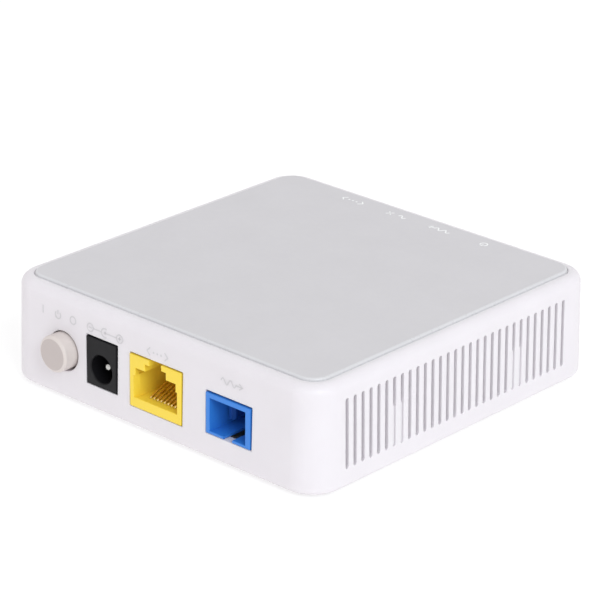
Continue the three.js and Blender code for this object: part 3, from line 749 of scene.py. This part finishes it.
def pan_screw(name, head_r, head_height, shank_r, length):
    """A pan head screw with a cross recess, its head down and its seat at z = 0."""
    dome = [(0, -head_height), (head_r * 0.45, -head_height * 0.98), (head_r * 0.72, -head_height * 0.86)]
    dome += [(head_r * 0.91, -head_height * 0.62), (head_r * 0.99, -head_height * 0.3), (head_r, 0)]
    core_r, pitch = shank_r * 0.78, shank_r * 0.7
    thread = [(core_r, 0)]
    turns = int((length - shank_r * 1.6) / pitch)
    for i in range(turns):
        start = 0.3 + i * pitch
        thread += [(core_r, start), (shank_r, start + pitch * 0.35), (core_r, start + pitch * 0.7)]
    thread += [(shank_r * 0.6, length - shank_r * 0.7), (0, length)]
    mesh = bmesh.new()
    turned(mesh, dome + thread, 28)
    screw = made(name, mesh)
    recess = bmesh.new()
    arm, depth = head_r * 0.55, head_height * 0.6
    for half_u, half_v in ((arm, arm * 0.24), (arm * 0.24, arm)):
        top = [(half_u, half_v), (-half_u, half_v), (-half_u, -half_v), (half_u, -half_v)]
        floor = [(u * 0.6, v * 0.6) for u, v in top]
        prism(recess, [(top, -head_height - 0.2), (top, -head_height), (floor, depth - head_height)])
    cut(screw, recess)
    return screw


def screws(prefix, head_r, head_height, shank_r):
    low, high = box_mm(f"{prefix}_1")
    pattern = pan_screw("screw", head_r, head_height, shank_r, high.z - low.z - head_height)
    for i in CORNERS:
        screw = bpy.data.objects.new(f"{prefix}_fine_{i}", pattern.data.copy())
        bpy.context.scene.collection.objects.link(screw)
        place = middle_mm(f"{prefix}_{i}")
        at = (place.x, place.y, low.z + head_height)
        piece(screw, STEEL.material, at=at, replaces=[f"{prefix}_{i}"])
    bpy.data.objects.remove(pattern)


# ---- Port wall: pieces drawn about their own axis, with y = 0 at the port face ----

PORT_FACE_Y = box_mm("dc_jack_housing")[0].y


MOUTH_FLARE = 0.12


def mouth(mesh, outline, depth):
    """A cutter for an opening that runs along +Y from the port face, with a small chamfer at its mouth."""
    sections = [(grown(outline, MOUTH_FLARE * 2), -MOUTH_FLARE), (outline, MOUTH_FLARE), (outline, depth)]
    loft(mesh, [[Vector((u, y, v)) for u, v in points] for points, y in sections])


def rectangle(low_u, high_u, low_v, high_v):
    return [(low_u, low_v), (high_u, low_v), (high_u, high_v), (low_u, high_v)]


def housing(name, node, x, z, edge=0.18):
    """A port's soft-edged housing about its own axis, which crosses the port face at x and z."""
    low, high = box_mm(node)
    at = Vector((x, PORT_FACE_Y, z))
    mesh = bmesh.new()
    block(mesh, low - at, high - at, edge)
    return made(name, mesh), at


FLANGE = 0.8  # how far the button's flange stands out, behind the wall
FLANGE_THICKNESS = 1
PLUNGER_SOCKET_HALF = 1.9


def power_button():
    low, high = box_mm("power_button")
    at = Vector((button_middle.x, PORT_FACE_Y, button_middle.z))
    flange_r, face, back = (high.x - low.x) / 2, low.y - at.y, high.y - at.y
    radius = flange_r - FLANGE
    corners = [(0, face, 0), (radius - 0.55, face, 0.3), (radius, face + 0.35, 0.45)]
    corners += [(radius, back - FLANGE_THICKNESS, 0), (flange_r, back - FLANGE_THICKNESS, 0.15)]
    corners += [(flange_r, back, 0.15), (0, back, 0)]
    mesh = bmesh.new()
    turned(mesh, filleted(corners), 96, TO_Y)
    cap = made("button_cap", mesh)
    socket = bmesh.new()
    half = PLUNGER_SOCKET_HALF
    block(socket, (-half, 0.2, -half), (half, back + 1, half), 0.1)
    cut(cap, socket)
    piece(cap, BUTTON_GREY.material, body="button", at=at, replaces=["power_button"])
    # The front face takes the darker copy of the button grey, painted shade.
    refinish(cap, BUTTON_FACE_SHADED.material, lambda face: face.normal.y < -0.99)


SPRING_WIRE_R = 0.2
SPRING_TURNS = 6
END_TURN_PITCH = 0.45  # the first and the last turn are closed
STEPS_PER_TURN = 24


def switch_spring():
    """The coil spring behind the plunger, which in the real switch shortens as the button goes in."""
    low, high = box_mm("switch_spring")
    middle, coil_r = (low + high) / 2, (high.x - low.x) / 2 - SPRING_WIRE_R
    start, end = low.y + SPRING_WIRE_R, high.y - SPRING_WIRE_R
    pitch = (end - start - 2 * END_TURN_PITCH) / (SPRING_TURNS - 2)
    rings = []
    for step in range(SPRING_TURNS * STEPS_PER_TURN + 1):
        turn = step / STEPS_PER_TURN
        first, last = min(turn, 1), max(turn - SPRING_TURNS + 1, 0)
        y = start + END_TURN_PITCH * (first + last) + pitch * (turn - first - last)
        outward = Vector((math.cos(2 * math.pi * turn), 0, math.sin(2 * math.pi * turn)))
        centre = Vector((middle.x, y, middle.z)) + outward * coil_r
        section = arc(0, 0, SPRING_WIRE_R, 0, 360, 8)[:-1]
        rings.append([centre + outward * u + Vector((0, v, 0)) for u, v in section])
    mesh = bmesh.new()
    loft(mesh, rings)
    spring = piece(made("return_spring", mesh), STEEL.material, replaces=["switch_spring"])
    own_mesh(spring)


BORE_R = 3.15
BORE_DEPTH = 9.6
PIN_R = 1
PIN_HOLE_R = 1.25
SPRING_WAY_HALF = 1.4  # of the way for the spring contact, which opens into the bore from above
SPRING_WAY_TOP_Z = 4.6  # above the bore's axis


def dc_jack():
    pin = middle_mm("dc_jack_pin")
    body, at = housing("power_inlet", "dc_jack_housing", pin.x, pin.z)
    depth = box_mm("dc_jack_housing")[1].y - at.y
    bore = bmesh.new()
    profile = [(0, -0.5), (BORE_R + 0.6, -0.5), (BORE_R + 0.2, 0), (BORE_R, 0.25), (BORE_R, BORE_DEPTH)]
    profile += [(PIN_HOLE_R, BORE_DEPTH), (PIN_HOLE_R, depth + 1), (0, depth + 1)]
    turned(bore, profile, 72, TO_Y)
    block(bore, (-SPRING_WAY_HALF, 2, 2), (SPRING_WAY_HALF, depth + 1, SPRING_WAY_TOP_Z), 0.1)
    cut(body, bore)
    piece(body, BLACK.material, at=at, replaces=["dc_jack_housing"])
    low, high = box_mm("dc_jack_pin")
    start, end = low.y - at.y, high.y - at.y
    mesh = bmesh.new()
    corners = [(0, start, 0), (PIN_R, start, 0.85), (PIN_R, end, 0.1), (0, end, 0)]
    turned(mesh, filleted(corners, 8), 40, TO_Y)
    piece(made("centre_pin", mesh), NICKEL.material, at=at, replaces=["dc_jack_pin"])


CONTACT_NUMBERS = range(1, 9)
# The opening's levels above the housing's lower face, and its half width at each.
PLUG_FLOOR, LEDGE, PLUG_CEILING, STEP_TOP, NOTCH_TOP = 2.2, 7.2, 8.95, 10.55, 11.2
PLUG_HALF, STEP_HALF, NOTCH_HALF = 5.85, 3.05, 1.75
LEDGE_HALF = 6.1  # above the ledge, behind the front
LEAD_IN_HALF = 6.4  # below the ledge, at the front
PLUG_DEPTH = 14
WIRE_WIDTH = 0.45
WIRE_THICKNESS = 0.35
GROOVE_HALF = 0.35
# A contact's corners as (y, z, bend radius), from the board down, along the floor to the front, and back
# up at a slant. The fold's corner at the front is where its two straight runs would meet.
CONTACT_CORNERS = [(21.6, 11.8, 0), (21.6, 1.4, 0.6), (0.17, 1.4, 0.526), (12.8, 6.6, 0)]


def rj45_socket():
    low, high = box_mm("rj45_housing")
    body, at = housing("network_socket", "rj45_housing", (low.x + high.x) / 2, low.z)
    depth, height = high.y - low.y, high.z - low.z
    right = [(PLUG_HALF, PLUG_FLOOR), (PLUG_HALF, PLUG_CEILING), (STEP_HALF, PLUG_CEILING)]
    right += [(STEP_HALF, STEP_TOP), (NOTCH_HALF, STEP_TOP), (NOTCH_HALF, NOTCH_TOP)]
    left = [(-u, v) for u, v in reversed(right)]
    cavity = bmesh.new()
    mouth(cavity, [left[-1], *right, *left[:-1]], PLUG_DEPTH)
    cut(body, cavity)
    relief = bmesh.new()
    block(relief, (-LEDGE_HALF, 1.2, LEDGE), (LEDGE_HALF, PLUG_DEPTH, PLUG_CEILING), 0.08)
    block(relief, (-NOTCH_HALF, -1, 10), (NOTCH_HALF, 3, height + 1), 0.08)
    cut(body, relief)
    lead_in = bmesh.new()
    wedge = [(-LEAD_IN_HALF, -0.1), (LEAD_IN_HALF, -0.1), (PLUG_HALF, 1.6), (-PLUG_HALF, 1.6)]
    prism(lead_in, [(wedge, PLUG_FLOOR), (wedge, LEDGE)])
    cut(body, lead_in)
    grooves = bmesh.new()
    for i in CONTACT_NUMBERS:
        x = middle_mm(f"rj45_contact_{i}").x - at.x
        block(grooves, (x - GROOVE_HALF, 1.9, 0.8), (x + GROOVE_HALF, depth + 1, 2.7), 0.05)
    cut(body, grooves)
    piece(body, YELLOW.material, at=at, replaces=["rj45_housing"])
    path = filleted(CONTACT_CORNERS, 10)
    for i in CONTACT_NUMBERS:
        mesh = bmesh.new()
        swept(mesh, path, WIRE_WIDTH, WIRE_THICKNESS)
        place = Vector((middle_mm(f"rj45_contact_{i}").x, at.y, at.z))
        wire = made(f"spring_wire_{i}", mesh)
        piece(wire, GOLD.material, at=place, replaces=[f"rj45_contact_{i}"])


OPENING = (-5.1, 4.9, -3.7, 3.7)  # its left, right, lower and upper sides about the sleeve's axis
OPENING_DEPTH = 15
KEY_SLOT_HALF = 1.25
KEY_SLOT_DEPTH = 9
FIBRE_WAY_R = 2.4  # of the round way to the optical assembly
INSERT_HALF_X = 4.6
INSERT_HALF_Z = 3.4
ARM_HALF_Z = 2.4
SLEEVE_BORE_R = 1.27
SLEEVE_R = 1.6
SLEEVE_FRONT_Y = 7.5


def sc_port():
    sleeve = middle_mm("fibre_sleeve")
    body, at = housing("fibre_socket", "sc_receptacle", sleeve.x, sleeve.z, 0.15)
    low, high = box_mm("sc_receptacle")
    depth = high.y - at.y
    opening = bmesh.new()
    mouth(opening, rectangle(*OPENING), OPENING_DEPTH)
    cut(body, opening)
    way = bmesh.new()
    key_x = (low.x + high.x) / 2 - at.x
    slot_low = (key_x - KEY_SLOT_HALF, -1, low.z - at.z - 1)
    block(way, slot_low, (key_x + KEY_SLOT_HALF, KEY_SLOT_DEPTH, -3), 0.15)
    start, end = OPENING_DEPTH - 1, depth + 1
    turned(way, [(0, start), (FIBRE_WAY_R, start), (FIBRE_WAY_R, end), (0, end)], 48, TO_Y)
    cut(body, way)
    piece(body, BLUE.material, at=at, replaces=["sc_receptacle"])

    back = box_mm("sc_latch_insert")[1].y - at.y
    mesh = bmesh.new()
    block(mesh, (-INSERT_HALF_X, back - 2, -INSERT_HALF_Z), (INSERT_HALF_X, back, INSERT_HALF_Z), 0.15)
    insert = made("latch_insert", mesh)
    arms = bmesh.new()
    hook = [(-4.5, 5.2), (-3.75, 5.2), (-3.2, 5.95), (-3.2, 6.4), (-3.7, 6.4)]
    hook += [(-3.7, back - 1), (-4.5, back - 1)]
    for outline in (hook, [(-u, v) for u, v in hook[::-1]]):
        prism(arms, [(outline, -ARM_HALF_Z), (outline, ARM_HALF_Z)])
    join(insert, arms)
    hole = bmesh.new()
    profile = [(0, back - 3), (FIBRE_WAY_R, back - 3), (FIBRE_WAY_R, back + 1), (0, back + 1)]
    turned(hole, profile, 48, TO_Y)
    cut(insert, hole)
    # The insert gets the darker blue, painted shade for the inside of the socket.
    piece(insert, BLUE_PAINTED_SHADE.material, at=at, replaces=["sc_latch_insert"])

    mesh = bmesh.new()
    front, shoulder = SLEEVE_FRONT_Y, SLEEVE_FRONT_Y + 0.12
    profile = [(0, 16), (SLEEVE_BORE_R, 16), (SLEEVE_BORE_R, shoulder), (SLEEVE_BORE_R + 0.09, front)]
    profile += [(SLEEVE_R - 0.1, front), (SLEEVE_R, shoulder), (SLEEVE_R, 17), (0, 17)]
    turned(mesh, profile, 48, TO_Y)
    piece(made("ferrule_sleeve", mesh), ZIRCONIA.material, at=at, replaces=["fibre_sleeve"])


# ---- Indicators ----

LEG_HALF_Y = 1.3  # of the guide's upright legs, under the LEDs
ARM_HEIGHT = 2.4
GUIDE_HALF_X = 1.2  # of each leg and arm
SHOULDER_GAP = 1.3  # from the arms' ends to the wall's inner face


def light_guide():
    low, high = box_mm("light_guide")
    led_y = middle_mm("indicator_led_1").y
    back, elbow, shoulder = led_y - LEG_HALF_Y, led_y + LEG_HALF_Y, CASE.y + INNER_HALF - SHOULDER_GAP
    bottom, arm_top, led_side = low.z, low.z + ARM_HEIGHT, high.z
    arm = [(elbow - 0.4, bottom), (shoulder, bottom), (shoulder, arm_top), (elbow, arm_top)]
    arm += [(elbow, led_side), (back, led_side), (back, arm_top - 0.2)]
    across = Matrix(((0, 0, 1, 0), (1, 0, 0, 0), (0, 1, 0, 0), (0, 0, 0, 1)))
    mesh = bmesh.new()
    block(mesh, (LED_XS[0], elbow + 0.3, bottom), (LED_XS[3], shoulder - 0.3, WINDOW_Z), 0.1)
    guide = made("light_pipes", mesh)
    arms = bmesh.new()
    reach = high.y - shoulder
    tip = filleted([(0, -0.4, 0), (WINDOW_R, -0.4, 0), (WINDOW_R, reach - 0.12, 0.25), (0, reach, 0)])
    for x in LED_XS:
        prism(arms, [(arm, x - GUIDE_HALF_X), (arm, x + GUIDE_HALF_X)], across)
        turned(arms, tip, 40, Matrix.Translation((x, shoulder, WINDOW_Z)) @ TO_Y)
    join(guide, arms)
    piece(guide, CLEAR.material, replaces=["light_guide"])


# ---- Printed marks: plain function symbols in thin ink, drawn about their own middle ----

WALL_MARKS_Z = 19.5
PANEL_MARKS_Y = 38
INK_WIDTH = 0.3
INK_HEIGHT = 0.02  # how far ink reaches above the surface, and below it


def stroke(mesh, path, width, place, closed=False):
    """A flat line of ink along a path. place turns (u, v, rise above the surface) into a point."""
    count = len(path)
    rows = []
    for i, point in enumerate(path):
        before = path[i - 1] if closed else path[max(i - 1, 0)]
        after = path[(i + 1) % count] if closed else path[min(i + 1, count - 1)]
        directions = [Vector(b) - Vector(a) for a, b in ((before, point), (point, after))]
        along = [d.normalized() for d in directions if d.length > 1e-6]
        normals = [Vector((-d.y, d.x)) for d in along]
        mitre = sum(normals, Vector((0, 0)))
        mitre = mitre * len(normals) / mitre.length_squared
        row = []
        for side, rise in ((1, -INK_HEIGHT), (-1, -INK_HEIGHT), (-1, INK_HEIGHT), (1, INK_HEIGHT)):
            edge = Vector(point) + mitre * side * width / 2
            row.append(mesh.verts.new(place(edge.x, edge.y, rise)))
        rows.append(row)
    steps = count if closed else count - 1
    for i in range(steps):
        first, second = rows[i], rows[(i + 1) % count]
        for k in range(4):
            j = (k + 1) % 4
            mesh.faces.new((first[k], first[j], second[j], second[k]))
    if not closed:
        mesh.faces.new(rows[0])
        mesh.faces.new(rows[-1])


def spot(mesh, u, v, radius, place):
    outline = arc(u, v, radius, 0, 360, 20)[:-1]
    loft(mesh, [[place(a, b, rise) for a, b in outline] for rise in (-INK_HEIGHT, INK_HEIGHT)])


def circle(u, v, radius):
    return arc(u, v, radius, 0, 360, 28)[:-1]


def draw(mesh, place, lines, loops=(), dots=()):
    for path in lines:
        stroke(mesh, path, INK_WIDTH, place)
    for path in loops:
        stroke(mesh, path, INK_WIDTH, place, closed=True)
    for u, v, radius in dots:
        spot(mesh, u, v, radius, place)


def power_symbol(mesh, place):
    draw(mesh, place, lines=[arc(0, -0.08, 0.82, 128, 412, 24), [(0, 0.1), (0, 1)]])


def switch_symbols(mesh, place):
    """On, on and off, and off."""
    draw(mesh, place, lines=[[(-4.6, -0.9), (-4.6, 0.9)]], loops=[circle(4.6, 0, 0.85)])
    power_symbol(mesh, place)


def polarity_symbols(mesh, place):
    """A plug's sleeve and centre, with the sign of each."""
    lines = [[(-4.9, 0), (-3.9, 0)], [(3.9, 0), (4.9, 0)], [(4.4, -0.5), (4.4, 0.5)]]
    lines += [[(-3.5, 0), (-1.1, 0)], [(0, 0), (3.5, 0)], arc(0, 0, 1, 60, 300, 20)]
    draw(mesh, place, lines, [circle(-4.4, 0, 0.9), circle(4.4, 0, 0.9)], [(0, 0, 0.32)])


def network_symbol(mesh, place):
    """Three points of a network between two brackets."""
    lines = [[(side * 2.1, 0.9), (side * 3, 0), (side * 2.1, -0.9)] for side in (-1, 1)]
    draw(mesh, place, lines, dots=[(u, 0, 0.25) for u in (-1.1, 0, 1.1)])


def light_symbol(mesh, place):
    """A wave of light that ends in an arrow."""
    wave = [(-3 + 4.2 * t / 32, 0.6 * math.sin(4 * math.pi * t / 32)) for t in range(33)]
    draw(mesh, place, lines=[[*wave, (2.9, 0)], [(2.1, 0.65), (2.95, 0), (2.1, -0.65)]])


def lost_light_symbol(mesh, place):
    """A wave that is broken off by a bar."""
    wave = [(-3 + 2.1 * t / 16, 0.6 * math.sin(2 * math.pi * t / 16)) for t in range(17)]
    cross = [[(0.9, -0.7), (2.3, 0.7)], [(0.9, 0.7), (2.3, -0.7)]]
    draw(mesh, place, lines=[wave, *cross])


def on_port_wall(u, v, rise):
    z = WALL_MARKS_Z + v
    return Vector((u, -wall_half(z) - rise, z))


def wall_marks():
    mesh = bmesh.new()
    named = ((switch_symbols, "power_button", -1.6), (polarity_symbols, "dc_jack_housing", 1))
    named += ((network_symbol, "rj45_housing", 0.5), (light_symbol, "sc_receptacle", 0.9))
    for symbol, node, aside in named:
        middle = middle_mm(node).x + aside
        symbol(mesh, lambda u, v, rise, middle=middle: on_port_wall(middle + u, v, rise))
    piece(made("wall_marks", mesh), WALL_INK.material, at=CASE)


def panel_marks():
    """The same symbols beside the indicators, read from the indicators' side."""
    mesh = bmesh.new()
    for symbol, x in zip((network_symbol, lost_light_symbol, light_symbol, power_symbol), LED_XS):
        symbol(mesh, lambda u, v, rise, x=x: Vector((x - u, PANEL_MARKS_Y - v, panel_high.z + rise)))
    piece(made("panel_marks", mesh), PANEL_INK.material, at=CASE)


# ---- What keeps its CAD shape ----

KEPT = {
    "switch_housing": BLACK,
    "switch_terminal_plate": PHENOLIC,
    "switch_plunger": NYLON,
    "switch_latch_wire": STEEL,
    "dc_jack_spring_contact": NICKEL,
    "optical_barrel": ALUMINIUM,
    "laser_can": GOLD,
    "photodiode_can": GOLD,
    "main_board": BOARD,
    "system_chip": EPOXY,
    "flash_chip": EPOXY,
    "laser_driver_chip": EPOXY,
    "ethernet_transformer": EPOXY,
    "power_inductor": EPOXY,
    "crystal": STEEL,
    "capacitor_1": CAN,
    "capacitor_2": CAN,
    "indicator_led_1": LED_EPOXY,
    "indicator_led_2": LED_EPOXY,
    "indicator_led_3": LED_EPOXY,
    "indicator_led_4": LED_EPOXY,
}


def finish_kept_nodes():
    for node, surface in KEPT.items():
        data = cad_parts[node].data
        data.materials.clear()
        data.materials.append(surface.material)


upper_shell()
top_panel()
base_cover()
rating_label()
feet()
screws("base_screw", head_r=2.3, head_height=1.4, shank_r=1.1)
screws("board_screw", head_r=1.9, head_height=1.2, shank_r=0.95)
power_button()
switch_spring()
dc_jack()
rj45_socket()
sc_port()
light_guide()
wall_marks()
panel_marks()
finish_kept_nodes()


# ---- Floor and light ----


def add_floor():
    mesh = bmesh.new()
    bmesh.ops.create_grid(mesh, x_segments=1, y_segments=1, size=3000)
    floor = made("floor", mesh)
    floor.data.transform(Matrix.Scale(MM, 4))
    surface = Surface("floor_light_table", (0.42, 0.42, 0.42), 0.9)
    surface.mottled(0.004, 60)
    surface.set("Emission Color", (1, 1, 1, 1))
    surface.set("Emission Strength", 0.62)
    floor.data.materials.append(surface.material)


def add_area_light(name, place, size, watts, color):
    data = bpy.data.lights.new(name, "AREA")
    data.shape = "DISK"
    data.size = size
    data.energy = watts
    data.color = color
    light = bpy.data.objects.new(name, data)
    light.location = place
    light.rotation_mode = "QUATERNION"
    light.rotation_quaternion = Vector(place).to_track_quat("Z", "Y")
    bpy.context.scene.collection.objects.link(light)


def add_lights():
    world = bpy.data.worlds.new("studio")
    bpy.context.scene.world = world
    world.use_nodes = True
    world.node_tree.nodes["Background"].inputs["Color"].default_value = (1, 1, 1, 1)
    world.node_tree.nodes["Background"].inputs["Strength"].default_value = 0.86
    add_area_light("key", place=(1.6, -0.75, 1.2), size=0.9, watts=17, color=(0.86, 0.955, 0.99))
    bpy.context.scene.view_settings.view_transform = "Standard"


add_floor()
add_lights()
